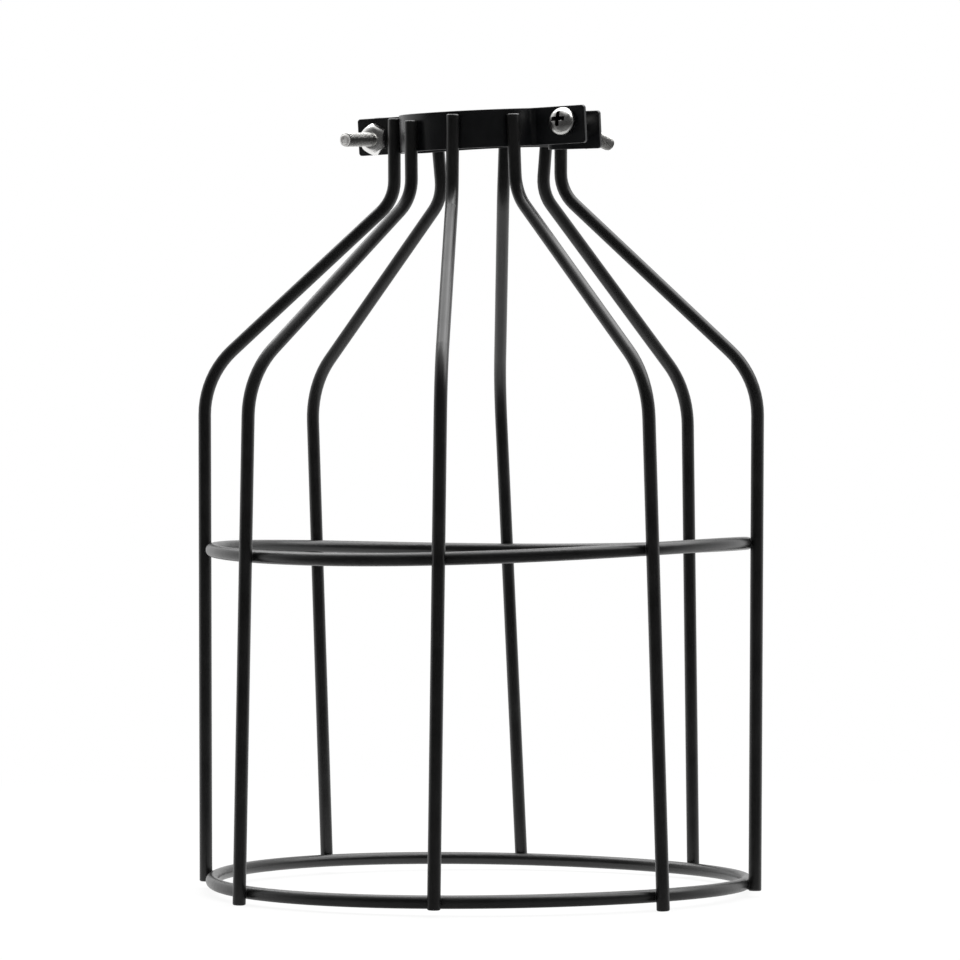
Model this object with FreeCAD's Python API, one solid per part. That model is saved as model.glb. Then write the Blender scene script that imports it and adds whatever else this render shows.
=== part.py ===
"""Clamp-on wire guard for a lamp bulb.

Eight bent uprights stand on the outside of two rings and are welded to a collar of two strip halves.
Two machine screws with nuts draw the collar's ears together on the neck of a lamp holder.
Z is the cage's axis, 0 at the lowest feet. The ears point along X and the screws run along Y.
The collar, the rings and the uprights lie a little out of true, as hand welding leaves them.
"""
import FreeCAD
import Part
import math
import os
from FreeCAD import Placement, Rotation, Vector

# Cage of round wire, millimetres
WIRE_D = 3.2
CAGE_OD = 142.2
WELD_SINK = 0.3
WIRE_END_ROUND = 0.4
FOOT_RING_Z = 3.0
WAIST_RING_Z = 85.2
SHOULDER_Z = 127.6
SHOULDER_BEND_R = 22.0
NECK_Z = 173.6
NECK_BEND_R = 10.5
NECK_OFF_X = -1.05
NECK_OFF_Y = -0.7
RING_PATH_POINTS = 24
WAIST_TILT_DEG = 0.63
WAIST_HIGH_SIDE_DEG = 36.5
WAIST_BOW = 1.15
WAIST_BOW_SIDE_DEG = 14.2
FOOT_TILT_DEG = 0.2
FOOT_HIGH_SIDE_DEG = 262.0
FOOT_BOW = 0.4
FOOT_BOW_SIDE_DEG = 164.0

# Collar of two strip halves with an ear at both ends; it tilts, front side down, and its rear half
# is bent on a slant, down towards the right ears and up towards its back
COLLAR_BORE_D = 37.0
COLLAR_TOP_Z = 194.4
COLLAR_TILT_DEG = 3.9
COLLAR_TILT_AXIS_DEG = -8.0
COLLAR_OFF_X = -0.3
COLLAR_OFF_Y = -0.2
REAR_SAG_DEG = 1.5
REAR_LIFT_DEG = 3.2
STRIP_T = 1.1
STRIP_H = 9.3
STRIP_EDGE_R = 0.2
EAR_GAP = 5.4
EAR_END_X = 34.4
EAR_BEND_R = 2.0
EAR_CORNER_R = 0.8

# Clamp screws and nuts; the right screw leans, tail down, as its ears' holes stand at unequal heights
SCREW_X = 28.7
SCREW_D = 3.5
SCREW_LENGTH = 21.5
SCREW_TIP_CHAMFER = 0.8
SCREW_CLEARANCE = 0.1
RIGHT_LEAN_DEG = 16.0
LEFT_LEAN_DEG = 0.0
RIGHT_SCREW_RISE = -0.5
LEFT_SCREW_RISE = -0.7
HEAD_D = 6.9
HEAD_H = 2.5
HEAD_RIM_H = 0.9
HEAD_RIM_ROUND = 0.5
HEAD_SEAT_ROUND = 0.15
RECESS_SPAN = 4.2
RECESS_FLOOR_SPAN = 1.6
RECESS_SLOT = 0.95
RECESS_DEPTH = 1.7
NUT_FLATS = 7.0
NUT_H = 2.8
NUT_CHAMFER_DEG = 30.0
NUT_BORE_CLEARANCE = 0.05
SEAT_GAP = 0.03

# Angles about the axis in degrees, 0 along +X; each half of the collar carries four uprights
UPRIGHTS_PER_HALF = 4
REAR_MIDDLE_DEG = 90.0
FRONT_MIDDLE_DEG = 270.0
CAGE_TURN_DEG = 3.9
# Each upright in the order of its angle, rear half first: its angle at the neck from the middle of its half,
# how much further round its top is and how far that ends below the collar's edge, how far it strays from
# even spacing at the shoulder and at the foot, and how far these two lie too high
NECK_OFFSETS_DEG = (-61.4, -16.8, 16.7, 60.1, -61.2, -16.1, 17.7, 61.8)
TOP_STRAY_DEG = (0.0, -7.0, -1.9, 5.2, 0.0, -1.0, 0.5, -2.2)
TOP_DROP = (1.4, 1.4, 1.4, 1.4, 0.6, 1.7, 0.8, 1.3)
SHOULDER_STRAY_DEG = (1.0, 2.9, 4.2, 2.6, 2.0, 0.6, 1.1, -1.3)
FOOT_STRAY_DEG = (-4.0, 1.0, -0.6, -1.4, 0.5, -3.0, -0.3, 2.6)
SHOULDER_RISE = (0.4, -1.7, 0.0, -0.3, 1.0, 0.2, 0.0, -0.8)
FOOT_RISE = (1.4, 1.4, 1.4, 1.7, 1.7, 0.0, 1.5, 0.0)

WIRE_R = WIRE_D / 2
LEG_R = CAGE_OD / 2 - WIRE_R
RING_R = LEG_R - WIRE_D + WELD_SINK
BAND_IN_R = COLLAR_BORE_D / 2
BAND_OUT_R = BAND_IN_R + STRIP_T
NECK_R = BAND_OUT_R + WIRE_R - WELD_SINK
EAR_IN_Y = EAR_GAP / 2
EAR_OUT_Y = EAR_IN_Y + STRIP_T
COLLAR_MIDDLE_Z = COLLAR_TOP_Z - STRIP_H / 2
MOST_LEAN = math.radians(max(RIGHT_LEAN_DEG, LEFT_LEAN_DEG))
HOLE_D = SCREW_D / math.cos(MOST_LEAN) + STRIP_T * math.tan(MOST_LEAN) + 2 * SCREW_CLEARANCE

TINY = 1e-3
ALONGSIDE = math.cos(math.radians(10))
ORIGIN = Vector(0, 0, 0)
ALONG_X = Vector(1, 0, 0)
ALONG_Y = Vector(0, 1, 0)
UP = Vector(0, 0, 1)
AS_IT_IS = Placement()
HALF_TURN = Placement(ORIGIN, Rotation(UP, 180))
COLLAR_MIDDLE = UP * COLLAR_MIDDLE_Z
COLLAR_OFF = Vector(COLLAR_OFF_X, COLLAR_OFF_Y, 0)
NECK_OFF = Vector(NECK_OFF_X, NECK_OFF_Y, 0)
TILT_AXIS = Rotation(UP, COLLAR_TILT_AXIS_DEG).multVec(ALONG_X)
COLLAR_TILT = Rotation(TILT_AXIS, COLLAR_TILT_DEG)
COLLAR_LIE = Placement(COLLAR_OFF, COLLAR_TILT, COLLAR_MIDDLE)
NECK_LIE = Placement(NECK_OFF, COLLAR_TILT, COLLAR_MIDDLE)
REAR_TURN = Rotation(ALONG_Y, REAR_SAG_DEG).multiply(Rotation(ALONG_X, REAR_LIFT_DEG))
REAR_SLANT = Placement(ORIGIN, REAR_TURN, COLLAR_MIDDLE - ALONG_X * SCREW_X)


def polar(radius, degrees, z):
    """A point at a radius and an angle about the axis."""
    angle = math.radians(degrees)
    return Vector(radius * math.cos(angle), radius * math.sin(angle), z)


def line(start, end):
    """A straight edge."""
    return Part.LineSegment(start, end).toShape()


def arc(start, middle, end):
    """An arc through three points."""
    return Part.Arc(start, middle, end).toShape()


def moved(shape, placement):
    """A copy of a shape, moved as a whole."""
    copy = shape.copy()
    copy.Placement = placement.multiply(copy.Placement)
    return copy


def rounded_path(points, radii):
    """A wire through the points, with an arc of the matching radius at each inner point."""
    edges = []
    start = points[0]
    for before, corner, after, radius in zip(points, points[1:], points[2:], radii):
        back = (before - corner).normalize()
        onward = (after - corner).normalize()
        inward = (back + onward).normalize()
        half_turn = (math.pi - back.getAngle(onward)) / 2
        reach = radius * math.tan(half_turn)
        depth = radius / math.cos(half_turn) - radius
        arc_start = corner + back * reach
        arc_end = corner + onward * reach
        edges.append(line(start, arc_start))
        edges.append(arc(arc_start, corner + inward * depth, arc_end))
        start = arc_end
    edges.append(line(start, points[-1]))
    return Part.Wire(edges)


def round_wire(path):
    """A round wire along a path, with its two cut ends rounded over."""
    first = path.Edges[0]
    foot = first.valueAt(first.FirstParameter)
    last = path.Edges[-1]
    top = last.valueAt(last.LastParameter)
    section = Part.Circle(foot, first.tangentAt(first.FirstParameter), WIRE_R).toShape()
    wire = path.makePipeShell([Part.Wire(section)], True, False)
    rims = [e for e in wire.Edges if min(e.CenterOfMass.distanceToPoint(p) for p in (foot, top)) < TINY]
    return wire.makeFillet(WIRE_END_ROUND, rims)


def ring(z, tilt_deg, high_side_deg, bow, bow_side_deg):
    """A ring of wire about the axis, tilted up towards one side and bowed up at two opposite sides."""
    points = []
    for step in range(RING_PATH_POINTS):
        degrees = 360 * step / RING_PATH_POINTS
        tilt = RING_R * math.tan(math.radians(tilt_deg)) * math.cos(math.radians(degrees - high_side_deg))
        bend = bow * math.cos(2 * math.radians(degrees - bow_side_deg))
        points.append(polar(RING_R, degrees, z + tilt + bend))
    curve = Part.BSplineCurve()
    curve.interpolate(points, PeriodicFlag=True)
    halfway = (curve.FirstParameter + curve.LastParameter) / 2
    halves = []
    for start, end in ((curve.FirstParameter, halfway), (halfway, curve.LastParameter)):
        half = curve.toShape(start, end)
        section = Part.Circle(half.valueAt(start), half.tangentAt(start), WIRE_R).toShape()
        halves.append(Part.Wire(half).makePipeShell([Part.Wire(section)], True, False))
    return halves[0].fuse(halves[1])


def ear_face(ear_y, band_r, side):
    """One face of a bent strip in plan: the ear's end, then the start, middle and end of the bend."""
    bend_y = -(EAR_IN_Y + STRIP_T / 2 + EAR_BEND_R)
    bend_reach = BAND_IN_R + STRIP_T / 2 + EAR_BEND_R
    bend = Vector(side * math.sqrt(bend_reach ** 2 - bend_y ** 2), bend_y, 0)
    outward = bend / bend_reach
    middle = (ALONG_Y - outward).normalize()
    return (
        Vector(side * EAR_END_X, ear_y, 0),
        Vector(bend.x, ear_y, 0),
        bend + middle * (ear_y - bend_y),
        outward * band_r,
    )


def strip_outline():
    """The outline in plan of the collar half on the -Y side, with its ears and their bends."""
    edges = []
    ends = []
    for ear_y, band_r in ((-EAR_OUT_Y, BAND_OUT_R), (-EAR_IN_Y, BAND_IN_R)):
        right_end, right_start, right_middle, right_band = ear_face(ear_y, band_r, 1)
        left_end, left_start, left_middle, left_band = ear_face(ear_y, band_r, -1)
        edges.append(line(right_end, right_start))
        edges.append(arc(right_start, right_middle, right_band))
        edges.append(arc(right_band, Vector(0, -band_r, 0), left_band))
        edges.append(arc(left_band, left_middle, left_start))
        edges.append(line(left_start, left_end))
        ends.append((right_end, left_end))
    edges += [line(outer, inner) for outer, inner in zip(*ends)]
    return Part.Wire(Part.__sortEdges__(edges))


def runs_along(edge, direction):
    """Whether an edge is straight and lies along a direction."""
    straight = isinstance(edge.Curve, Part.Line)
    return straight and abs(edge.tangentAt(edge.FirstParameter).dot(direction)) > ALONGSIDE


def at_ear_end(edge):
    """Whether an edge lies on the end of an ear."""
    return abs(abs(edge.CenterOfMass.x) - EAR_END_X) < TINY


def collar_half(turn, slant):
    """A collar half without its holes: a bent strip, turned as a whole, with soft edges cut on a slant."""
    tall = Part.Face(strip_outline()).extrude(UP * 3 * STRIP_H)
    tall.translate(UP * (COLLAR_TOP_Z - 2 * STRIP_H))
    room = 3 * EAR_END_X
    slab = Part.makeBox(2 * room, 2 * room, STRIP_H, Vector(-room, -room, COLLAR_TOP_Z - STRIP_H))
    strip = moved(tall, turn).common(moved(slab, slant))
    corners = [e for e in strip.Edges if runs_along(e, ALONG_Y) and at_ear_end(e)]
    strip = strip.makeFillet(EAR_CORNER_R, corners)
    bend_lines = [e for e in strip.Edges if runs_along(e, UP) and not at_ear_end(e)]
    across = [e for e in strip.Edges if runs_along(e, ALONG_Y)]
    sharp = [e for e in strip.Edges if not any(e.isSame(other) for other in bend_lines + across)]
    return strip.makeFillet(STRIP_EDGE_R, sharp)


def upright_points(index):
    """Foot, shoulder, neck and top of one upright, before its bends are rounded."""
    place = index % UPRIGHTS_PER_HALF
    rear = index < UPRIGHTS_PER_HALF
    half_middle = REAR_MIDDLE_DEG if rear else FRONT_MIDDLE_DEG
    even = half_middle + (place - (UPRIGHTS_PER_HALF - 1) / 2) * 180 / UPRIGHTS_PER_HALF + CAGE_TURN_DEG
    at_neck = half_middle + NECK_OFFSETS_DEG[index]
    top = polar(NECK_R, at_neck + TOP_STRAY_DEG[index], COLLAR_TOP_Z - TOP_DROP[index])
    if rear:
        top.z = REAR_SLANT.multVec(top).z
    return [
        polar(LEG_R, even + FOOT_STRAY_DEG[index], FOOT_RISE[index]),
        polar(LEG_R, even + SHOULDER_STRAY_DEG[index], SHOULDER_Z + SHOULDER_RISE[index]),
        NECK_LIE.multVec(polar(NECK_R, at_neck, NECK_Z)),
        COLLAR_LIE.multVec(top),
    ]


def upright(index, welded_to):
    """One bent upright, with a shallow seat where it is welded to each ring and to the collar."""
    path = rounded_path(upright_points(index), (SHOULDER_BEND_R, NECK_BEND_R))
    return round_wire(path).cut(welded_to)


def cross_recess():
    """The space of the cross recess in a screw's head: two slots that shorten with depth."""
    crown = UP * -HEAD_H
    cone = Part.makeCone(RECESS_SPAN / 2, RECESS_FLOOR_SPAN / 2, RECESS_DEPTH, crown, UP)
    corner = crown - Vector(RECESS_SPAN / 2, RECESS_SLOT / 2, 0)
    slot = Part.makeBox(RECESS_SPAN, RECESS_SLOT, RECESS_DEPTH, corner)
    crossing = slot.copy()
    crossing.rotate(ORIGIN, UP, 90)
    return cone.common(slot.fuse(crossing))


def screw():
    """A pan head screw with its seat at z 0, its tip up along +Z and its head below."""
    shank_r = SCREW_D / 2
    crown_h = HEAD_H - HEAD_RIM_H
    crown_r = (HEAD_D ** 2 / 4 + crown_h ** 2) / (2 * crown_h)
    half_slope = math.asin(HEAD_D / 2 / crown_r) / 2
    apex = UP * -HEAD_H
    shoulder = Vector(crown_r * math.sin(half_slope), 0, crown_r * (1 - math.cos(half_slope)) - HEAD_H)
    rim = Vector(HEAD_D / 2, 0, -HEAD_RIM_H)
    seat_edge = Vector(HEAD_D / 2, 0, 0)
    below = [
        rim,
        seat_edge,
        Vector(shank_r, 0, 0),
        Vector(shank_r, 0, SCREW_LENGTH - SCREW_TIP_CHAMFER),
        Vector(shank_r - SCREW_TIP_CHAMFER, 0, SCREW_LENGTH),
        Vector(0, 0, SCREW_LENGTH),
        apex,
    ]
    edges = [arc(apex, shoulder, rim)] + [line(a, b) for a, b in zip(below, below[1:])]
    turned = Part.Face(Part.Wire(edges)).revolve(ORIGIN, UP, 360)
    for corner, radius in ((rim, HEAD_RIM_ROUND), (seat_edge, HEAD_SEAT_ROUND)):
        circles = [
            e for e in turned.Edges
            if e.isClosed() and e.Vertexes[0].Point.distanceToPoint(corner) < TINY
        ]
        turned = turned.makeFillet(radius, circles)
    return turned.cut(cross_recess())


def nut():
    """A hexagon nut with its seat at z 0, a corner towards Y, and both rims chamfered."""
    corner_r = NUT_FLATS / math.sqrt(3)
    corners = [polar(corner_r, 30 + 60 * i, 0) for i in range(6)]
    block = Part.Face(Part.makePolygon(corners + corners[:1])).extrude(UP * NUT_H)
    drop = (corner_r - NUT_FLATS / 2) * math.tan(math.radians(NUT_CHAMFER_DEG))
    outline = [
        ORIGIN,
        Vector(NUT_FLATS / 2, 0, 0),
        Vector(corner_r, 0, drop),
        Vector(corner_r, 0, NUT_H - drop),
        Vector(NUT_FLATS / 2, 0, NUT_H),
        Vector(0, 0, NUT_H),
    ]
    turned = Part.Face(Part.makePolygon(outline + outline[:1])).revolve(ORIGIN, UP, 360)
    bore = Part.makeCylinder(SCREW_D / 2 + NUT_BORE_CLEARANCE, NUT_H)
    return block.common(turned).cut(bore)


def clamp_fasteners(lean_deg, rise):
    """The screw, the nut and the two ear holes at +X: the head on the front ear, the nut on the rear ear."""
    lean = math.radians(lean_deg)
    aim = Rotation(ALONG_X, -90 - lean_deg)

    def on_axis(y):
        return Vector(SCREW_X, y, COLLAR_MIDDLE_Z + rise - y * math.tan(lean))

    head_seat_y = -EAR_OUT_Y - SEAT_GAP - (HEAD_D / 2 - HEAD_SEAT_ROUND) * math.sin(lean)
    nut_seat_y = EAR_OUT_Y + SEAT_GAP + NUT_FLATS / 2 * math.sin(lean)
    holes = []
    for ear_y in (-EAR_IN_Y - STRIP_T / 2, EAR_IN_Y + STRIP_T / 2):
        start = on_axis(ear_y) - ALONG_Y * STRIP_T
        holes.append(Part.makeCylinder(HOLE_D / 2, 2 * STRIP_T, start, ALONG_Y))
    screw_place = Placement(on_axis(head_seat_y), aim)
    nut_place = Placement(on_axis(nut_seat_y), aim)
    return [moved(screw(), screw_place), moved(nut(), nut_place)] + holes


def build():
    """Every piece of the guard by name."""
    right = clamp_fasteners(RIGHT_LEAN_DEG, RIGHT_SCREW_RISE)
    left = [moved(shape, HALF_TURN) for shape in clamp_fasteners(LEFT_LEAN_DEG, LEFT_SCREW_RISE)]
    holes = right[2:] + left[2:]
    level = {
        "collar_half_front": collar_half(AS_IT_IS, AS_IT_IS).cut(holes),
        "collar_half_rear": collar_half(HALF_TURN, REAR_SLANT).cut(holes),
        "clamp_screw_right": right[0],
        "clamp_nut_right": right[1],
        "clamp_screw_left": left[0],
        "clamp_nut_left": left[1],
    }
    pieces = {name: moved(shape, COLLAR_LIE) for name, shape in level.items()}
    waist_lie = (WAIST_TILT_DEG, WAIST_HIGH_SIDE_DEG, WAIST_BOW, WAIST_BOW_SIDE_DEG)
    foot_lie = (FOOT_TILT_DEG, FOOT_HIGH_SIDE_DEG, FOOT_BOW, FOOT_BOW_SIDE_DEG)
    pieces["waist_ring"] = ring(WAIST_RING_Z, *waist_lie)
    pieces["foot_ring"] = ring(FOOT_RING_Z, *foot_lie)
    welded_to = [pieces[n] for n in ("waist_ring", "foot_ring", "collar_half_front", "collar_half_rear")]
    for index in range(2 * UPRIGHTS_PER_HALF):
        pieces["upright_%d" % (index + 1)] = upright(index, welded_to)
    return pieces


os.makedirs("parts", exist_ok=True)
for name, shape in build().items():
    shape.Solids[0].exportStep("parts/%s.step" % name)
    print(name, len(shape.Solids), "solid", round(shape.Volume, 1), "mm3", "valid:", shape.isValid())
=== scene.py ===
"""Clamp-on wire guard for a lamp bulb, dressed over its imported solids.

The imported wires, rings and collar halves keep their shapes and get a black coat.
The screws get threads and cross recesses and the nuts get domed faces, all in bright zinc.
The welded crossings get beads under the coat.
Metres, Z up along the cage's axis, 0 at the feet; the ears point along X and the screws run along Y.
"""
import math

import bmesh
import bpy
from mathutils import Matrix, Vector


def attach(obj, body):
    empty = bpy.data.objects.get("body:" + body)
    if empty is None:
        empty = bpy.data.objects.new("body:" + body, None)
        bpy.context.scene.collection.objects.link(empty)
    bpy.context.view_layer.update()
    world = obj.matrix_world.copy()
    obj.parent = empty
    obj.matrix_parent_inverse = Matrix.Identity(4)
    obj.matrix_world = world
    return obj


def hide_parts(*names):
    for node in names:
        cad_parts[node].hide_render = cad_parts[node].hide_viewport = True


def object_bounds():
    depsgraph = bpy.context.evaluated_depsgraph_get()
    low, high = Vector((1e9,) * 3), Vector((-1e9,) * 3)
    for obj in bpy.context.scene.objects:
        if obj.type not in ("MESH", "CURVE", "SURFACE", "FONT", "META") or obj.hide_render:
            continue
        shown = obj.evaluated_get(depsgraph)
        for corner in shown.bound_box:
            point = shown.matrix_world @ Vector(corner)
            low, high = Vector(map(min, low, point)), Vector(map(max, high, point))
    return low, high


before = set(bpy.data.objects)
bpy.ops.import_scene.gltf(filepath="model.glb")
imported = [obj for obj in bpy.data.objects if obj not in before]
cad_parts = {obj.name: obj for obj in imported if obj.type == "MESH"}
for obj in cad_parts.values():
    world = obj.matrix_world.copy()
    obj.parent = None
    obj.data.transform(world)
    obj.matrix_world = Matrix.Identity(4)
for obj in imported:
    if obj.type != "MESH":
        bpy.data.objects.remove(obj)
cad_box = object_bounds()

MM = 0.001
MERGE_DISTANCE = 0.001 * MM

# Cage of round wire
WIRE_R = 1.6 * MM
LEG_R = 69.5 * MM
RING_R = 66.6 * MM
SHOULDER_Z = 127.6 * MM
# Each ring's height, its tilt and high side in degrees, its bow and the side that bows up in degrees
RINGS = (
    (3.0 * MM, 0.2, 262.0, 0.4 * MM, 164.0),
    (85.2 * MM, 0.63, 36.5, 1.15 * MM, 14.2),
)

# Collar of two strip halves, off the axis and tilted, front side down; the rear half's edges slant
COLLAR_Z = 189.75 * MM
COLLAR_OFF = (-0.3 * MM, -0.2 * MM, 0.0)
COLLAR_TILT_DEG = 3.9
COLLAR_TILT_AXIS_DEG = -8.0
REAR_SAG_DEG = 1.5
REAR_LIFT_DEG = 3.2
BAND_OUT_R = 19.6 * MM
NECK_R = 20.9 * MM
NECK_Z = 173.6 * MM
NECK_OFF = (-1.05 * MM, -0.7 * MM, 0.0)
STRIP_H = 9.3 * MM
EAR_OUT_Y = 3.8 * MM

# Clamp screws: shank, and thread whose flanks run between two shares of half a pitch
SCREW_X = 28.7 * MM
SCREW_R = 1.75 * MM
SCREW_LENGTH = 21.5 * MM
SCREW_TIP_CHAMFER = 0.8 * MM
THREAD_PITCH = 0.6 * MM
THREAD_DEPTH = 0.34 * MM
THREAD_START = -0.3 * MM
THREAD_FLANK = (0.15, 0.85)
# Their heads, whose rim's corner is drawn in and raised by shares of its rounding, and the cross recess
HEAD_R = 3.45 * MM
HEAD_H = 2.5 * MM
HEAD_RIM_H = 0.9 * MM
HEAD_RIM_ROUND = 0.7 * MM
RIM_DRAWN_IN = 0.16
RIM_RAISED = 0.06
CROWN_FULLNESS = 3.2
HEAD_SEAT_R = 3.3 * MM
RECESS_REACH = 2.1 * MM
RECESS_FLOOR_REACH = 0.8 * MM
RECESS_SLOT = 1.05 * MM
RECESS_DEPTH = 1.7 * MM
RECESS_SIDE_SLOPE = 14.0
# The recess is painted dark as shade, fully so past this share of its depth
RECESS_SHADE_SHARE = 0.1
SHARP_EDGE_DEG = 40

# Hexagon nuts, whose face falls to its corners
NUT_FLATS = 7.0 * MM
NUT_H = 2.8 * MM
NUT_BORE_CLEARANCE = 0.05 * MM
NUT_FACE_DROP = 1.4 * MM
NUT_FACE_FULLNESS = 2.1
NUT_SIDES = 6

# Each side's lean in degrees, tail down, and its rise off the middle of its ears
SEAT_GAP = 0.03 * MM
SCREW_LIES = {"right": (16.0, -0.5 * MM), "left": (0.0, -0.7 * MM)}

# Angles of the uprights about the axis, in degrees, 0 along +X, in the order of their numbers,
# and how far each ends below the collar's edge
UPRIGHTS_PER_HALF = 4
HALF_MIDDLES_DEG = (90.0, 270.0)
NECK_OFFSETS_DEG = (-61.4, -16.8, 16.7, 60.1, -61.2, -16.1, 17.7, 61.8)
TOP_STRAY_DEG = (0.0, -7.0, -1.9, 5.2, 0.0, -1.0, 0.5, -2.2)
TOP_DROP = [drop * MM for drop in (1.4, 1.4, 1.4, 1.4, 0.6, 1.7, 0.8, 1.3)]
CAGE_TURN_DEG = 3.9
SHOULDER_STRAY_DEG = (1.0, 2.9, 4.2, 2.6, 2.0, 0.6, 1.1, -1.3)
FOOT_STRAY_DEG = (-4.0, 1.0, -0.6, -1.4, 0.5, -3.0, -0.3, 2.6)

# Finishes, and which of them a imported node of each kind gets; the rest is wire
CLOUD_EDGES = (0.3, 0.7)
GRIT_SIZE_SHARE = 0.2
RIPPLE_HEIGHT = 0.003 * MM
FINISH_OF_KIND = {"collar_half": "strip", "clamp_screw": "screw", "clamp_nut": "nut"}

# Camera of the photograph, level, and the studio around the guard
IMAGE_PX = 960
FOCAL_PX = 4730
SENSOR_MM = 36.0
CAMERA_SIDE_DEG = -55.0
CAMERA_DISTANCE = 1.180
CAMERA_Z = 0.1026
CAMERA_SHIFT_PX = 0.5
FLOOR_SIZE = 12.0
FLOOR_SHADOW_SHARE = 0.1
FLOOR_SHADOW_REACH = (0.15, 0.45)
FLOOR_GLOOM_REACH = (0.0, 0.08)
FRONT_GLOOM = 0.065
GLOOM_EDGES = (-0.75, 0.5)
CEILING_START = 0.7
CEILING_GLOW = 1.5
CEILING_FADE = 1.5
FLOOR_PAINT = (0.8, 0.8, 0.8, 1)
WHITE = (1, 1, 1, 1)
# Soft lights: place to the right of the guard, behind it and above it, size, radiance, turn in degrees
SOFTBOXES = {
    "overhead_sheet": ((0.21, 0.29, 0.88), (2.5, 0.95), 3.1, 23),
    "overhead_core": ((0.32, 0.02, 0.88), (0.3, 0.5), 2.2, 23),
}


def polar(radius, degrees, z):
    """A point at a radius and an angle about the axis."""
    angle = math.radians(degrees)
    return Vector((radius * math.cos(angle), radius * math.sin(angle), z))


TO_CAMERA = polar(1, CAMERA_SIDE_DEG, 0)
TO_RIGHT = Vector((-TO_CAMERA.y, TO_CAMERA.x, 0))
UP = Vector((0, 0, 1))


def tilted_lie(off):
    """The move that leaves a level collar off the axis and out of square with the cage."""
    middle = Matrix.Translation(UP * COLLAR_Z)
    turn = Matrix.Rotation(math.radians(COLLAR_TILT_DEG), 4, polar(1.0, COLLAR_TILT_AXIS_DEG, 0.0))
    return Matrix.Translation(off) @ middle @ turn @ middle.inverted()


def rear_rise(place):
    """How far the slanted rear half stands above a level one at a place."""
    sag = math.sin(math.radians(REAR_SAG_DEG)) * (place.x + SCREW_X)
    return math.sin(math.radians(REAR_LIFT_DEG)) * place.y - sag


def node(tree, kind, *inputs, **settings):
    """Adds a node; each input in turn is a socket to link, a value to set, or None to leave as it is."""
    made = tree.nodes.new(kind)
    for name, value in settings.items():
        setattr(made, name, value)
    for place, value in enumerate(inputs):
        if isinstance(value, bpy.types.NodeSocket):
            tree.links.new(value, made.inputs[place])
        elif value is not None:
            made.inputs[place].default_value = value
    return made


def calc(tree, operation, *inputs):
    """The result of one step of arithmetic."""
    return node(tree, "ShaderNodeMath", *inputs, operation=operation).outputs[0]


def mapped(tree, value, *levels, **settings):
    """A value brought from one range to another and held there: from low, from high, to low, to high."""
    return node(tree, "ShaderNodeMapRange", value, *levels, **settings).outputs[0]


def new_tree(name, kind, inputs, outputs):
    """A node tree with named sockets, its inputs and its output node; inputs give (name, type, default)."""
    tree = bpy.data.node_groups.new(name, kind)
    for label, socket, default in inputs:
        made = tree.interface.new_socket(label, in_out="INPUT", socket_type=socket)
        if default is not None:
            made.default_value = default
    for label, socket in outputs:
        tree.interface.new_socket(label, in_out="OUTPUT", socket_type=socket)
    return tree, tree.nodes.new("NodeGroupInput").outputs, tree.nodes.new("NodeGroupOutput")


def finish_shape(tree, mesh, material, group_out):
    """Ends a shape tree: smooth faces, real geometry and the finish."""
    smooth = node(tree, "GeometryNodeSetShadeSmooth", mesh).outputs[0]
    real = node(tree, "GeometryNodeRealizeInstances", smooth).outputs[0]
    dressed = node(tree, "GeometryNodeSetMaterial", real)
    tree.links.new(material, dressed.inputs["Material"])
    tree.links.new(dressed.outputs[0], group_out.inputs[0])


def shape_mesh(name, tree, values, seed=None):
    """The plain mesh that a shape tree makes from a seed mesh and its named values."""
    carrier = bpy.data.objects.new(name, seed or bpy.data.meshes.new(name + "_seed"))
    bpy.context.collection.objects.link(carrier)
    modifier = carrier.modifiers.new("shape", "NODES")
    modifier.node_group = tree
    sockets = {s.name: s.identifier for s in tree.interface.items_tree if s.in_out == "INPUT"}
    for label, value in values.items():
        modifier[sockets[label]] = value
    evaluated = carrier.evaluated_get(bpy.context.evaluated_depsgraph_get())
    mesh = bpy.data.meshes.new_from_object(evaluated)
    mesh.name = name
    carrier.modifiers.remove(modifier)
    bpy.data.objects.remove(carrier)
    return mesh


def sheet_to_wind(tree, rows, sides):
    """A flat sheet, with the share of the way along it and around it at each point."""
    sheet = node(tree, "GeometryNodeMeshGrid", 1.0, 1.0, rows, calc(tree, "ADD", sides, 1.0))
    at = node(tree, "ShaderNodeSeparateXYZ", node(tree, "GeometryNodeInputPosition").outputs[0])
    along = calc(tree, "ADD", at.outputs["X"], 0.5)
    around = calc(tree, "ADD", at.outputs["Y"], 0.5)
    return sheet.outputs["Mesh"], along, around


def about_axis(tree, radius, around, turns):
    """X and Y at a radius, a share of so many turns about the Z axis."""
    angle = calc(tree, "MULTIPLY", around, turns * 2 * math.pi)
    x = calc(tree, "MULTIPLY", radius, calc(tree, "COSINE", angle))
    y = calc(tree, "MULTIPLY", radius, calc(tree, "SINE", angle))
    return x, y


def wound(tree, sheet, x, y, z):
    """The sheet with its points at their places about the Z axis, and its seam and poles closed."""
    place = node(tree, "ShaderNodeCombineXYZ", x, y, z).outputs[0]
    turned = node(tree, "GeometryNodeSetPosition", sheet, None, place).outputs[0]
    closed = node(tree, "GeometryNodeMergeByDistance", turned)
    closed.inputs["Distance"].default_value = MERGE_DISTANCE
    return closed.outputs[0]


def marked_sunk(tree, sheet, share):
    """The sheet with the share of full depth noted at each point, for the finish to darken as painted shade.
    """
    noted = node(tree, "GeometryNodeStoreNamedAttribute", sheet, data_type="FLOAT", domain="POINT")
    noted.inputs["Name"].default_value = "sunk"
    tree.links.new(share, noted.inputs["Value"])
    return noted.outputs[0]


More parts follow.
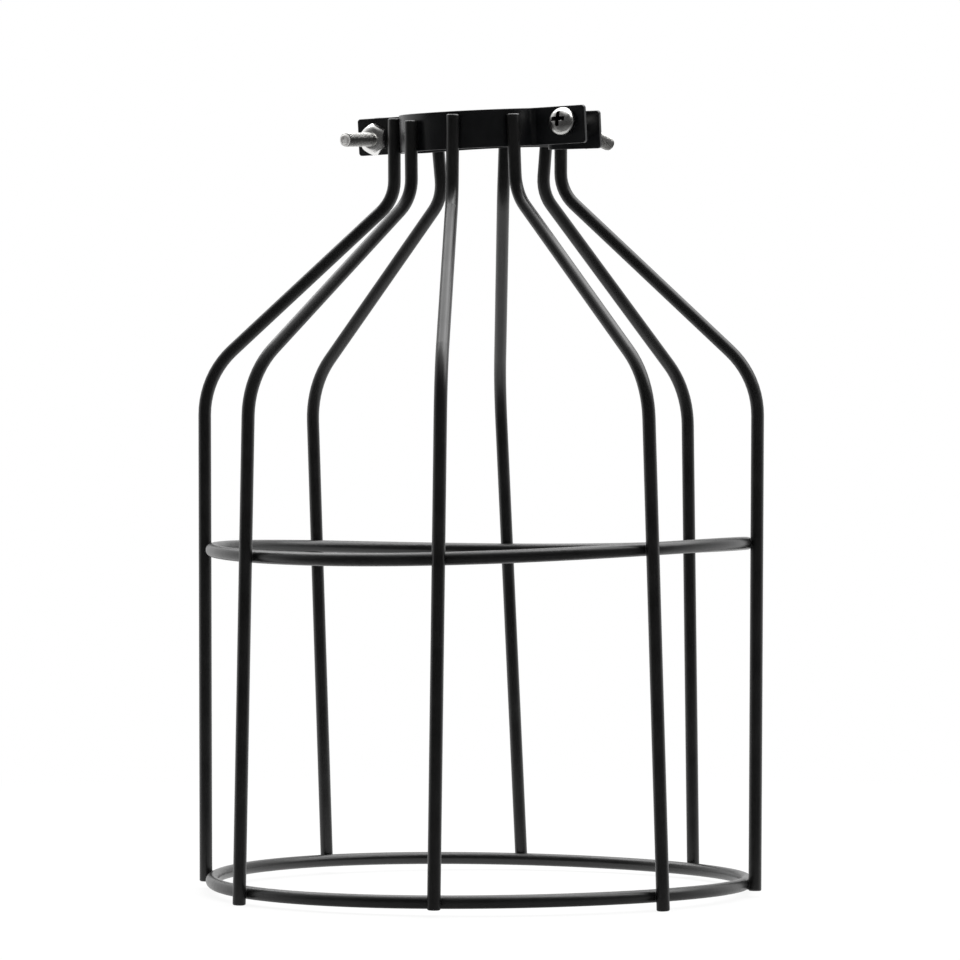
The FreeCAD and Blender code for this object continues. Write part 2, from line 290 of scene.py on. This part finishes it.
def screw_head_tree():
    """A screw's pan head below its seat at z 0: crown with a cross recess, rim and seat in one sheet."""
    tree, given, group_out = new_tree(
        "screw_head",
        "GeometryNodeTree",
        [
            ("Head Radius", "NodeSocketFloat", HEAD_R),
            ("Head Height", "NodeSocketFloat", HEAD_H),
            ("Rim Height", "NodeSocketFloat", HEAD_RIM_H),
            ("Rim Round", "NodeSocketFloat", HEAD_RIM_ROUND),
            ("Crown Fullness", "NodeSocketFloat", CROWN_FULLNESS),
            ("Recess Reach", "NodeSocketFloat", RECESS_REACH),
            ("Recess Floor Reach", "NodeSocketFloat", RECESS_FLOOR_REACH),
            ("Recess Slot", "NodeSocketFloat", RECESS_SLOT),
            ("Recess Depth", "NodeSocketFloat", RECESS_DEPTH),
            ("Rows", "NodeSocketInt", 120),
            ("Sides", "NodeSocketInt", 240),
            ("Finish", "NodeSocketMaterial", None),
        ],
        [("Head", "NodeSocketGeometry")],
    )
    rim_r = given["Head Radius"]
    sheet, along, around = sheet_to_wind(tree, given["Rows"], given["Sides"])
    rim_end = calc(tree, "ADD", rim_r, given["Rim Height"])
    path = calc(tree, "MULTIPLY", along, calc(tree, "ADD", rim_end, rim_r))
    past_rim = calc(tree, "MAXIMUM", calc(tree, "SUBTRACT", path, rim_end), 0.0)
    crown_at = calc(tree, "MINIMUM", path, rim_r)
    sharp_r = calc(tree, "SUBTRACT", crown_at, past_rim)
    crown_h = calc(tree, "SUBTRACT", given["Head Height"], given["Rim Height"])
    out = calc(tree, "POWER", calc(tree, "DIVIDE", crown_at, rim_r), given["Crown Fullness"])
    crown_z = calc(tree, "SUBTRACT", calc(tree, "MULTIPLY", out, crown_h), given["Head Height"])
    down_rim = calc(tree, "MAXIMUM", calc(tree, "SUBTRACT", path, rim_r), 0.0)
    sharp_z = calc(tree, "ADD", crown_z, calc(tree, "MINIMUM", down_rim, given["Rim Height"]))
    off_corner = calc(tree, "ABSOLUTE", calc(tree, "SUBTRACT", path, rim_r))
    near = calc(tree, "SUBTRACT", 1.0, calc(tree, "DIVIDE", off_corner, given["Rim Round"]))
    near = calc(tree, "POWER", calc(tree, "MAXIMUM", near, 0.0), 2.0)
    soft = calc(tree, "MULTIPLY", near, given["Rim Round"])
    radius = calc(tree, "MULTIPLY_ADD", soft, -RIM_DRAWN_IN, sharp_r)
    rounded_z = calc(tree, "MULTIPLY_ADD", soft, RIM_RAISED, sharp_z)
    x, y = about_axis(tree, radius, around, -1)
    taper = calc(tree, "SUBTRACT", given["Recess Reach"], given["Recess Floor Reach"])
    half_slot = calc(tree, "MULTIPLY", given["Recess Slot"], 0.5)

    def wing(lengthwise, across):
        off_end = calc(tree, "SUBTRACT", given["Recess Reach"], calc(tree, "ABSOLUTE", lengthwise))
        share = calc(tree, "DIVIDE", off_end, taper)
        end_wall = mapped(tree, share, 0.0, 1.0, 0.0, given["Recess Depth"])
        off_side = calc(tree, "SUBTRACT", half_slot, calc(tree, "ABSOLUTE", across))
        side_wall = calc(tree, "MULTIPLY", off_side, RECESS_SIDE_SLOPE)
        return calc(tree, "MINIMUM", end_wall, calc(tree, "MAXIMUM", side_wall, 0.0))

    sunk = calc(tree, "SUBTRACT", calc(tree, "MAXIMUM", wing(x, y), wing(y, x)), given["Head Height"])
    on_crown = calc(tree, "LESS_THAN", path, given["Recess Reach"])
    with_recess = calc(tree, "MAXIMUM", rounded_z, sunk)
    z = node(tree, "ShaderNodeMix", on_crown, data_type="FLOAT")
    tree.links.new(rounded_z, z.inputs[2])
    tree.links.new(with_recess, z.inputs[3])
    below = calc(tree, "SUBTRACT", z.outputs[0], rounded_z)
    # Painted shade: the recess darkens with its depth, fully past a share of it
    shade_depth = calc(tree, "MULTIPLY", given["Recess Depth"], RECESS_SHADE_SHARE)
    share = mapped(tree, below, 0.0, shade_depth, 0.0, 1.0)
    head = wound(tree, marked_sunk(tree, sheet, share), x, y, z.outputs[0])
    finish_shape(tree, head, given["Finish"], group_out)
    return tree


def threaded_shank_tree():
    """A screw's shank along +Z: one sheet with a flat start, a right-hand thread and a chamfered tip."""
    tree, given, group_out = new_tree(
        "threaded_shank",
        "GeometryNodeTree",
        [
            ("Length", "NodeSocketFloat", SCREW_LENGTH),
            ("Crest Radius", "NodeSocketFloat", SCREW_R),
            ("Thread Depth", "NodeSocketFloat", THREAD_DEPTH),
            ("Pitch", "NodeSocketFloat", THREAD_PITCH),
            ("Tip Chamfer", "NodeSocketFloat", SCREW_TIP_CHAMFER),
            ("Start", "NodeSocketFloat", THREAD_START),
            ("Rows", "NodeSocketInt", 420),
            ("Sides", "NodeSocketInt", 40),
            ("Finish", "NodeSocketMaterial", None),
        ],
        [("Shank", "NodeSocketGeometry")],
    )
    sheet, along, around = sheet_to_wind(tree, given["Rows"], given["Sides"])
    tip_r = calc(tree, "SUBTRACT", given["Crest Radius"], given["Tip Chamfer"])
    axis_start = calc(tree, "SUBTRACT", given["Start"], given["Crest Radius"])
    axis_end = calc(tree, "ADD", given["Length"], tip_r)
    run = calc(tree, "MULTIPLY_ADD", along, calc(tree, "SUBTRACT", axis_end, axis_start), axis_start)
    z = calc(tree, "MAXIMUM", calc(tree, "MINIMUM", run, given["Length"]), given["Start"])
    phase = calc(tree, "FRACT", calc(tree, "ADD", calc(tree, "DIVIDE", z, given["Pitch"]), around))
    flank = calc(tree, "ABSOLUTE", calc(tree, "MULTIPLY_ADD", phase, 2.0, -1.0))
    depth = mapped(tree, flank, *THREAD_FLANK, 0.0, given["Thread Depth"])
    thread_r = calc(tree, "SUBTRACT", given["Crest Radius"], depth)
    start_limit = calc(tree, "SUBTRACT", run, axis_start)
    end_limit = calc(tree, "MINIMUM", start_limit, calc(tree, "SUBTRACT", axis_end, run))
    radius = calc(tree, "MAXIMUM", calc(tree, "MINIMUM", thread_r, end_limit), 0.0)
    x, y = about_axis(tree, radius, around, -1)
    # Painted shade: the thread's roots are marked to darken with their depth
    share = calc(tree, "DIVIDE", depth, given["Thread Depth"])
    shank = wound(tree, marked_sunk(tree, sheet, share), x, y, z)
    finish_shape(tree, shank, given["Finish"], group_out)
    return tree


def clamp_nut_tree():
    """A hexagon nut with its seat at z 0: a quarter of one sheet each for domed face, flats, seat and bore."""
    tree, given, group_out = new_tree(
        "clamp_nut",
        "GeometryNodeTree",
        [
            ("Across Flats", "NodeSocketFloat", NUT_FLATS),
            ("Height", "NodeSocketFloat", NUT_H),
            ("Bore Radius", "NodeSocketFloat", SCREW_R + NUT_BORE_CLEARANCE),
            ("Face Drop", "NodeSocketFloat", NUT_FACE_DROP),
            ("Face Fullness", "NodeSocketFloat", NUT_FACE_FULLNESS),
            ("Rows", "NodeSocketInt", 61),
            ("Sides", "NodeSocketInt", 96),
            ("Finish", "NodeSocketMaterial", None),
        ],
        [("Nut", "NodeSocketGeometry")],
    )
    sheet, along, around = sheet_to_wind(tree, given["Rows"], given["Sides"])
    bore_r = given["Bore Radius"]
    quarters = [mapped(tree, along, quarter / 4, (quarter + 1) / 4, 0.0, 1.0) for quarter in range(4)]
    face, flat, seat, bore = quarters
    side = calc(tree, "FRACT", calc(tree, "MULTIPLY_ADD", around, NUT_SIDES, 0.5))
    off_flat = calc(tree, "MULTIPLY", calc(tree, "SUBTRACT", side, 0.5), 2 * math.pi / NUT_SIDES)
    half_flats = calc(tree, "MULTIPLY", given["Across Flats"], 0.5)
    side_r = calc(tree, "DIVIDE", half_flats, calc(tree, "COSINE", off_flat))
    wall = calc(tree, "SUBTRACT", side_r, bore_r)
    radius = calc(tree, "MULTIPLY_ADD", wall, calc(tree, "SUBTRACT", face, seat), bore_r)
    corner_r = calc(tree, "DIVIDE", half_flats, math.cos(math.pi / NUT_SIDES))
    corner_wall = calc(tree, "SUBTRACT", corner_r, bore_r)
    out = calc(tree, "DIVIDE", calc(tree, "MULTIPLY", wall, face), corner_wall)
    fall = calc(tree, "MULTIPLY", calc(tree, "POWER", out, given["Face Fullness"]), given["Face Drop"])
    face_z = calc(tree, "SUBTRACT", given["Height"], fall)
    side_z = calc(tree, "MULTIPLY", face_z, calc(tree, "SUBTRACT", 1.0, flat))
    z = calc(tree, "MULTIPLY_ADD", bore, given["Height"], side_z)
    x, y = about_axis(tree, radius, around, 1)
    finish_shape(tree, wound(tree, sheet, x, y, z), given["Finish"], group_out)
    return tree


def weld_bead_tree():
    """A lens of weld metal at each point, bowed to lie between the two surfaces that it joins."""
    tree, given, group_out = new_tree(
        "weld_beads",
        "GeometryNodeTree",
        [
            ("Places", "NodeSocketGeometry", None),
            ("Half Thickness", "NodeSocketFloat", 0.3 * MM),
            ("Half Width", "NodeSocketFloat", 1.4 * MM),
            ("Half Length", "NodeSocketFloat", 1.4 * MM),
            ("Bow Across", "NodeSocketFloat", 0.0),
            ("Bow Along", "NodeSocketFloat", 0.0),
            ("Smallest", "NodeSocketFloat", 0.92),
            ("Seed", "NodeSocketInt", 7),
            ("Finish", "NodeSocketMaterial", None),
        ],
        [("Beads", "NodeSocketGeometry")],
    )
    ball = node(tree, "GeometryNodeMeshUVSphere", 24, 12, 1.0).outputs[0]
    at = node(tree, "ShaderNodeSeparateXYZ", node(tree, "GeometryNodeInputPosition").outputs[0])
    across = calc(tree, "MULTIPLY", at.outputs["Y"], given["Half Width"])
    along = calc(tree, "MULTIPLY", at.outputs["Z"], given["Half Length"])
    bow_across = calc(tree, "MULTIPLY", calc(tree, "POWER", across, 2.0), given["Bow Across"])
    bow_along = calc(tree, "MULTIPLY", calc(tree, "POWER", along, 2.0), given["Bow Along"])
    bow = calc(tree, "ADD", bow_across, bow_along)
    out = calc(tree, "MULTIPLY_ADD", at.outputs["X"], given["Half Thickness"], bow)
    place = node(tree, "ShaderNodeCombineXYZ", out, across, along).outputs[0]
    lens = node(tree, "GeometryNodeSetPosition", ball, None, place).outputs[0]
    turn = node(tree, "GeometryNodeInputNamedAttribute", "turn", data_type="FLOAT_VECTOR").outputs[0]
    facing = node(tree, "FunctionNodeEulerToRotation", turn).outputs[0]
    scale = node(tree, "FunctionNodeRandomValue", data_type="FLOAT")
    tree.links.new(given["Smallest"], scale.inputs[2])
    scale.inputs[3].default_value = 1.0
    tree.links.new(given["Seed"], scale.inputs["Seed"])
    beads = node(tree, "GeometryNodeInstanceOnPoints", given["Places"])
    tree.links.new(lens, beads.inputs["Instance"])
    tree.links.new(facing, beads.inputs["Rotation"])
    tree.links.new(scale.outputs[1], beads.inputs["Scale"])
    finish_shape(tree, beads.outputs[0], given["Finish"], group_out)
    return tree


def surface_ripple_group():
    """Fine unevenness of a finish: a height for the bump and a cloudy mask for tone and gloss."""
    tree, given, group_out = new_tree(
        "surface_ripple",
        "ShaderNodeTree",
        [
            ("Ripple Size", "NodeSocketFloat", 1.0 * MM),
            ("Cloud Size", "NodeSocketFloat", 12.0 * MM),
            ("Grit Share", "NodeSocketFloat", 0.2),
        ],
        [("Height", "NodeSocketFloat"), ("Cloud", "NodeSocketFloat")],
    )
    here = node(tree, "ShaderNodeTexCoord").outputs["Object"]

    def noise(size, detail, roughness):
        scale = calc(tree, "DIVIDE", 1.0, size)
        made = node(tree, "ShaderNodeTexNoise", noise_dimensions="3D")
        tree.links.new(here, made.inputs["Vector"])
        tree.links.new(scale, made.inputs["Scale"])
        made.inputs["Detail"].default_value = detail
        made.inputs["Roughness"].default_value = roughness
        return made.outputs[0]

    ripple = noise(given["Ripple Size"], 1.0, 0.4)
    grit = noise(calc(tree, "MULTIPLY", given["Ripple Size"], GRIT_SIZE_SHARE), 2.0, 0.6)
    height = calc(tree, "MULTIPLY_ADD", grit, given["Grit Share"], ripple)
    tree.links.new(height, group_out.inputs["Height"])
    tree.links.new(noise(given["Cloud Size"], 3.0, 0.55), group_out.inputs["Cloud"])
    return tree


def finish(name, ripple, colours, roughness, metallic, sizes):
    """A rippled finish: tone and gloss drift with the cloud, dark to light, and hollows take a painted shade
    colour.
    """
    dark, light, hollow_shade = colours
    material = bpy.data.materials.new(name)
    material.use_nodes = True
    tree = material.node_tree
    shader = tree.nodes["Principled BSDF"]
    marks = node(tree, "ShaderNodeGroup", node_tree=ripple)
    for label, value in sizes.items():
        marks.inputs[label].default_value = value
    cloud = mapped(tree, marks.outputs["Cloud"], *CLOUD_EDGES, 0.0, 1.0)
    tone = node(tree, "ShaderNodeMix", data_type="RGBA")
    tree.links.new(cloud, tone.inputs["Factor"])
    tone.inputs[6].default_value = (*dark, 1)
    tone.inputs[7].default_value = (*light, 1)
    # Painted shade: points marked as sunk take the hollow shade colour
    sunk = node(tree, "ShaderNodeAttribute", attribute_name="sunk").outputs["Fac"]
    shaded_tone = node(tree, "ShaderNodeMix", data_type="RGBA")
    tree.links.new(sunk, shaded_tone.inputs["Factor"])
    tree.links.new(tone.outputs[2], shaded_tone.inputs[6])
    shaded_tone.inputs[7].default_value = (*hollow_shade, 1)
    tree.links.new(shaded_tone.outputs[2], shader.inputs["Base Color"])
    rough = mapped(tree, cloud, 0.0, 1.0, *roughness)
    tree.links.new(rough, shader.inputs["Roughness"])
    shader.inputs["Metallic"].default_value = metallic
    bump = node(tree, "ShaderNodeBump")
    bump.inputs["Strength"].default_value = 1.0
    bump.inputs["Distance"].default_value = RIPPLE_HEIGHT
    tree.links.new(marks.outputs["Height"], bump.inputs["Height"])
    tree.links.new(bump.outputs[0], shader.inputs["Normal"])
    return material


def piece_of(name, mesh, replaced=()):
    """Puts a finished mesh in the scene as a piece that rides on the guard."""
    piece = bpy.data.objects.new(name, mesh)
    bpy.context.collection.objects.link(piece)
    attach(piece, "root")
    if replaced:
        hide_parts(*replaced)


def fastener_place(side, towards_tip, seat_r):
    """Where a screw or nut stands at one side's ears, made with its seat at z 0 and the tip along +Z."""
    lean_deg, rise = SCREW_LIES[side]
    lean = math.radians(lean_deg)
    seat_y = towards_tip * (EAR_OUT_Y + SEAT_GAP + seat_r * math.sin(lean))
    seat = Matrix.Translation((SCREW_X, seat_y, COLLAR_Z + rise - seat_y * math.tan(lean)))
    aim = Matrix.Rotation(-math.pi / 2 - lean, 4, "X")
    half_turn = Matrix.Rotation(math.pi if side == "left" else 0.0, 4, "Z")
    return tilted_lie(COLLAR_OFF) @ half_turn @ seat @ aim


def screw_mesh(side, trees, plated, cut):
    """A clamp screw in its place: a head with a cross recess, a threaded shank and a cut tip."""
    head, shank = [shape_mesh("screw_" + side, tree, {"Finish": plated}) for tree in trees]
    head.set_sharp_from_angle(angle=math.radians(SHARP_EDGE_DEG))
    joined = bmesh.new()
    joined.from_mesh(head)
    joined.from_mesh(shank)
    tip_z = SCREW_LENGTH - SCREW_TIP_CHAMFER
    for face in joined.faces:
        face.material_index = int(face.calc_center_median().z > tip_z)
    joined.transform(fastener_place(side, -1, HEAD_SEAT_R))
    mesh = bpy.data.meshes.new("clamp_screw_threaded_" + side)
    joined.to_mesh(mesh)
    joined.free()
    for material in (plated, cut):
        mesh.materials.append(material)
    return mesh


def upright_angles(index):
    """The angles of an upright at its foot, its shoulder and its neck."""
    half, place = divmod(index, UPRIGHTS_PER_HALF)
    middle = HALF_MIDDLES_DEG[half]
    even = middle + (place - (UPRIGHTS_PER_HALF - 1) / 2) * 180 / UPRIGHTS_PER_HALF + CAGE_TURN_DEG
    neck = middle + NECK_OFFSETS_DEG[index]
    return even + FOOT_STRAY_DEG[index], even + SHOULDER_STRAY_DEG[index], neck


def places_mesh(name, places, turns):
    """A seed mesh of bare points, each with the turn of what goes there."""
    seed = bpy.data.meshes.new(name)
    seed.from_pydata(places, [], [])
    turn = seed.attributes.new("turn", "FLOAT_VECTOR", "POINT")
    for entry, value in zip(turn.data, turns):
        entry.vector = value
    return seed


def ring_weld_places():
    """Where each upright is welded to the two rings, facing outwards."""
    places = []
    turns = []
    joint_r = (RING_R + LEG_R) / 2
    for index in range(2 * UPRIGHTS_PER_HALF):
        foot, shoulder, _ = upright_angles(index)
        for ring_z, tilt_deg, high_side_deg, bow, bow_side_deg in RINGS:
            degrees = foot + (shoulder - foot) * ring_z / SHOULDER_Z
            rise = RING_R * math.tan(math.radians(tilt_deg))
            tilt = rise * math.cos(math.radians(degrees - high_side_deg))
            bend = bow * math.cos(2 * math.radians(degrees - bow_side_deg))
            places.append(polar(joint_r, degrees, ring_z + tilt + bend))
            turns.append((0, 0, math.radians(degrees)))
    return places_mesh("ring_weld_places", places, turns)


def collar_weld_places():
    """Where each upright is welded along the collar, facing outwards and leaning with its wire."""
    places = []
    turns = []
    lie = tilted_lie(COLLAR_OFF)
    to_level = lie.inverted() @ tilted_lie(NECK_OFF)
    joint_r = (BAND_OUT_R + NECK_R - WIRE_R) / 2
    for index in range(2 * UPRIGHTS_PER_HALF):
        neck_deg = upright_angles(index)[2]
        neck = to_level @ polar(NECK_R, neck_deg, NECK_Z)
        top = polar(NECK_R, neck_deg + TOP_STRAY_DEG[index], COLLAR_Z + STRIP_H / 2 - TOP_DROP[index])
        if index < UPRIGHTS_PER_HALF:
            top.z += rear_rise(top)
        along = (top - neck).normalized()
        middle = top - along * (STRIP_H - TOP_DROP[index]) / 2
        outward = Vector((middle.x, middle.y, 0)).normalized()
        along = (along - outward * along.dot(outward)).normalized()
        places.append(lie @ (outward * joint_r + UP * middle.z))
        facing = Matrix((outward, along.cross(outward), along)).transposed()
        turns.append((lie.to_3x3() @ facing).to_euler())
    return places_mesh("collar_weld_places", places, turns)


def make_finishes():
    """The coat on the wire and on the strip, and the zinc of the screws, their cut tips and the nuts."""
    ripple = surface_ripple_group()
    wire = {"Ripple Size": 1.3 * MM, "Cloud Size": 9 * MM, "Grit Share": 0.12}
    strip = {"Ripple Size": 0.9 * MM, "Cloud Size": 7 * MM, "Grit Share": 0.2}
    plate = {"Ripple Size": 0.7 * MM, "Cloud Size": 2.5 * MM, "Grit Share": 0.15}
    # Each finish's dark tone, light tone and painted shade colour for its hollows
    wire_black = ((0.0055, 0.0055, 0.0055), (0.0098, 0.0098, 0.0098), (0.003, 0.003, 0.003))
    strip_black = ((0.0026, 0.0028, 0.0036), (0.006, 0.0063, 0.0074), (0.003, 0.003, 0.003))
    screw_zinc = ((0.52, 0.515, 0.5), (0.72, 0.715, 0.695), (0.05, 0.048, 0.045))
    # Painted highlight: the nut's zinc is a lighter copy of the screw's, so the nut reads brighter
    nut_zinc_painted_bright = ((0.8, 0.795, 0.78), (0.93, 0.925, 0.91), (0.05, 0.048, 0.045))
    tip_zinc = ((0.62, 0.615, 0.6), (0.78, 0.775, 0.76), (0.4, 0.39, 0.38))
    return {
        "wire": finish("black_coat_wire", ripple, wire_black, (0.28, 0.36), 0.0, wire),
        "strip": finish("black_coat_strip", ripple, strip_black, (0.26, 0.36), 0.0, strip),
        "screw": finish("zinc_plate_screw", ripple, screw_zinc, (0.24, 0.34), 1.0, plate),
        "nut": finish("zinc_plate_nut", ripple, nut_zinc_painted_bright, (0.2, 0.3), 1.0, plate),
        "tip": finish("zinc_plate_tip", ripple, tip_zinc, (0.5, 0.62), 0.3, plate),
    }


def dress_packed_nodes(finishes):
    """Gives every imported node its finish."""
    for name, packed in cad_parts.items():
        kind = name.rsplit("_", 1)[0]
        for slot in packed.material_slots:
            slot.material = finishes[FINISH_OF_KIND.get(kind, "wire")]


def add_screws(finishes):
    """Both clamp screws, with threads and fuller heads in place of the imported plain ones."""
    trees = (screw_head_tree(), threaded_shank_tree())
    for side in SCREW_LIES:
        mesh = screw_mesh(side, trees, finishes["screw"], finishes["tip"])
        piece_of("threaded_screw_" + side, mesh, ["clamp_screw_" + side])


def add_nuts(finishes):
    """Both nuts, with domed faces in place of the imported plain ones."""
    tree = clamp_nut_tree()
    for side in SCREW_LIES:
        mesh = shape_mesh("domed_nut_" + side, tree, {"Finish": finishes["nut"]})
        mesh.set_sharp_from_angle(angle=math.radians(SHARP_EDGE_DEG))
        mesh.transform(fastener_place(side, 1, NUT_FLATS / 2))
        piece_of("domed_nut_" + side, mesh, ["clamp_nut_" + side])


def add_welds(finishes):
    """The beads where the uprights meet the rings and the collar."""
    tree = weld_bead_tree()
    between_wires = {
        "Half Thickness": 0.32 * MM,
        "Bow Across": 1 / (4 * WIRE_R),
        "Bow Along": -1 / (4 * WIRE_R),
        "Finish": finishes["wire"],
    }
    ring_beads = shape_mesh("ring_weld_beads", tree, between_wires, ring_weld_places())
    piece_of("ring_weld_beads", ring_beads)
    along_strip = {
        "Half Thickness": 0.3 * MM,
        "Half Width": 1.25 * MM,
        "Half Length": 4.2 * MM,
        "Bow Across": 1 / (4 * WIRE_R) - 1 / (4 * BAND_OUT_R),
        "Finish": finishes["strip"],
    }
    collar_beads = shape_mesh("collar_weld_beads", tree, along_strip, collar_weld_places())
    piece_of("collar_weld_beads", collar_beads)


def to_the_front(tree, place):
    """How far a place lies to the studio's front, the side that the photograph was taken from."""
    front = node(tree, "ShaderNodeVectorMath", place, TO_CAMERA, operation="DOT_PRODUCT")
    return front.outputs["Value"]


def add_floor():
    """A floor, white to the eye and dim in front to gloss, that keeps the guard's shadow close by."""
    half = FLOOR_SIZE / 2
    z = cad_box[0][2]
    mesh = bpy.data.meshes.new("white_floor")
    corners = [(-half, -half, z), (half, -half, z), (half, half, z), (-half, half, z)]
    mesh.from_pydata(corners, [], [(0, 1, 2, 3)])
    floor = bpy.data.objects.new("white_floor", mesh)
    bpy.context.collection.objects.link(floor)
    material = bpy.data.materials.new("white_floor")
    material.use_nodes = True
    material.cycles.emission_sampling = "NONE"
    tree = material.node_tree
    tree.nodes.clear()
    path = node(tree, "ShaderNodeLightPath").outputs
    seen = calc(tree, "ADD", path["Is Camera Ray"], path["Is Glossy Ray"])
    seen = calc(tree, "MINIMUM", calc(tree, "ADD", seen, path["Is Transmission Ray"]), 1.0)
    here = node(tree, "ShaderNodeTexCoord").outputs["Object"]
    away = node(tree, "ShaderNodeVectorMath", here, operation="LENGTH").outputs["Value"]
    glow = mapped(tree, away, *FLOOR_SHADOW_REACH, 1 - FLOOR_SHADOW_SHARE, 1.0)
    share = calc(tree, "MULTIPLY", seen, glow)
    white = node(tree, "ShaderNodeBsdfDiffuse", FLOOR_PAINT).outputs[0]
    front = to_the_front(tree, here)
    mirrored = mapped(tree, front, *FLOOR_GLOOM_REACH, 1.0, FRONT_GLOOM)
    direct = calc(tree, "MAXIMUM", path["Is Camera Ray"], path["Is Transmission Ray"])
    level = calc(tree, "MAXIMUM", direct, mirrored)
    bright = node(tree, "ShaderNodeEmission", WHITE, level).outputs[0]
    both = node(tree, "ShaderNodeMixShader", share, white, bright).outputs[0]
    node(tree, "ShaderNodeOutputMaterial", both)
    mesh.materials.append(material)


def add_room():
    """A room, white all round to the eye, whose front is dim and whose ceiling is bright to the guard."""
    world = bpy.data.worlds.new("studio_room")
    bpy.context.scene.world = world
    world.use_nodes = True
    world.cycles.sampling_method = "NONE"
    tree = world.node_tree
    tree.nodes.clear()
    path = node(tree, "ShaderNodeLightPath").outputs
    seen = calc(tree, "MAXIMUM", path["Is Camera Ray"], path["Is Transmission Ray"])
    towards = node(tree, "ShaderNodeTexCoord").outputs["Generated"]
    front = to_the_front(tree, towards)
    room = mapped(tree, front, *GLOOM_EDGES, 1.0, FRONT_GLOOM, interpolation_type="SMOOTHSTEP")
    height = node(tree, "ShaderNodeSeparateXYZ", towards).outputs["Z"]
    overhead = mapped(tree, height, CEILING_START, 1.0, 0.0, 1.0)
    ceiling = calc(tree, "MULTIPLY", calc(tree, "POWER", overhead, CEILING_FADE), CEILING_GLOW)
    strength = calc(tree, "MAXIMUM", seen, calc(tree, "MAXIMUM", room, ceiling))
    sky = node(tree, "ShaderNodeBackground", WHITE, strength).outputs[0]
    node(tree, "ShaderNodeOutputWorld", sky)


def add_softbox(name, place, size, radiance, turn_deg):
    """A soft light that faces the guard, placed as the camera sees it, its right end turned forward."""
    right, back, up = place
    light = bpy.data.lights.new(name, "AREA")
    light.shape = "RECTANGLE"
    light.size, light.size_y = size
    light.energy = radiance * math.pi * size[0] * size[1]
    lamp = bpy.data.objects.new(name, light)
    away = TO_RIGHT * right - TO_CAMERA * back + UP * up
    aim = away.normalized()
    level = (TO_RIGHT - aim * TO_RIGHT.dot(aim)).normalized()
    width = Matrix.Rotation(-math.radians(turn_deg), 3, aim) @ level
    lamp.location = UP * CAMERA_Z + away
    lamp.rotation_euler = Matrix((width, aim.cross(width), aim)).transposed().to_euler()
    bpy.context.collection.objects.link(lamp)


def add_camera():
    """The photograph's level camera."""
    data = bpy.data.cameras.new("photo_camera")
    data.sensor_width = SENSOR_MM
    data.lens = FOCAL_PX / IMAGE_PX * SENSOR_MM
    data.shift_x = CAMERA_SHIFT_PX / IMAGE_PX
    camera = bpy.data.objects.new("photo_camera", data)
    camera.location = TO_CAMERA * CAMERA_DISTANCE + UP * CAMERA_Z
    camera.rotation_euler = TO_CAMERA.to_track_quat("Z", "Y").to_euler()
    bpy.context.collection.objects.link(camera)
    bpy.context.scene.camera = camera


finishes = make_finishes()
dress_packed_nodes(finishes)
add_screws(finishes)
add_nuts(finishes)
add_welds(finishes)
add_floor()
add_room()
for softbox, settings in SOFTBOXES.items():
    add_softbox(softbox, *settings)
add_camera()
bpy.context.scene.view_settings.view_transform = "Standard"
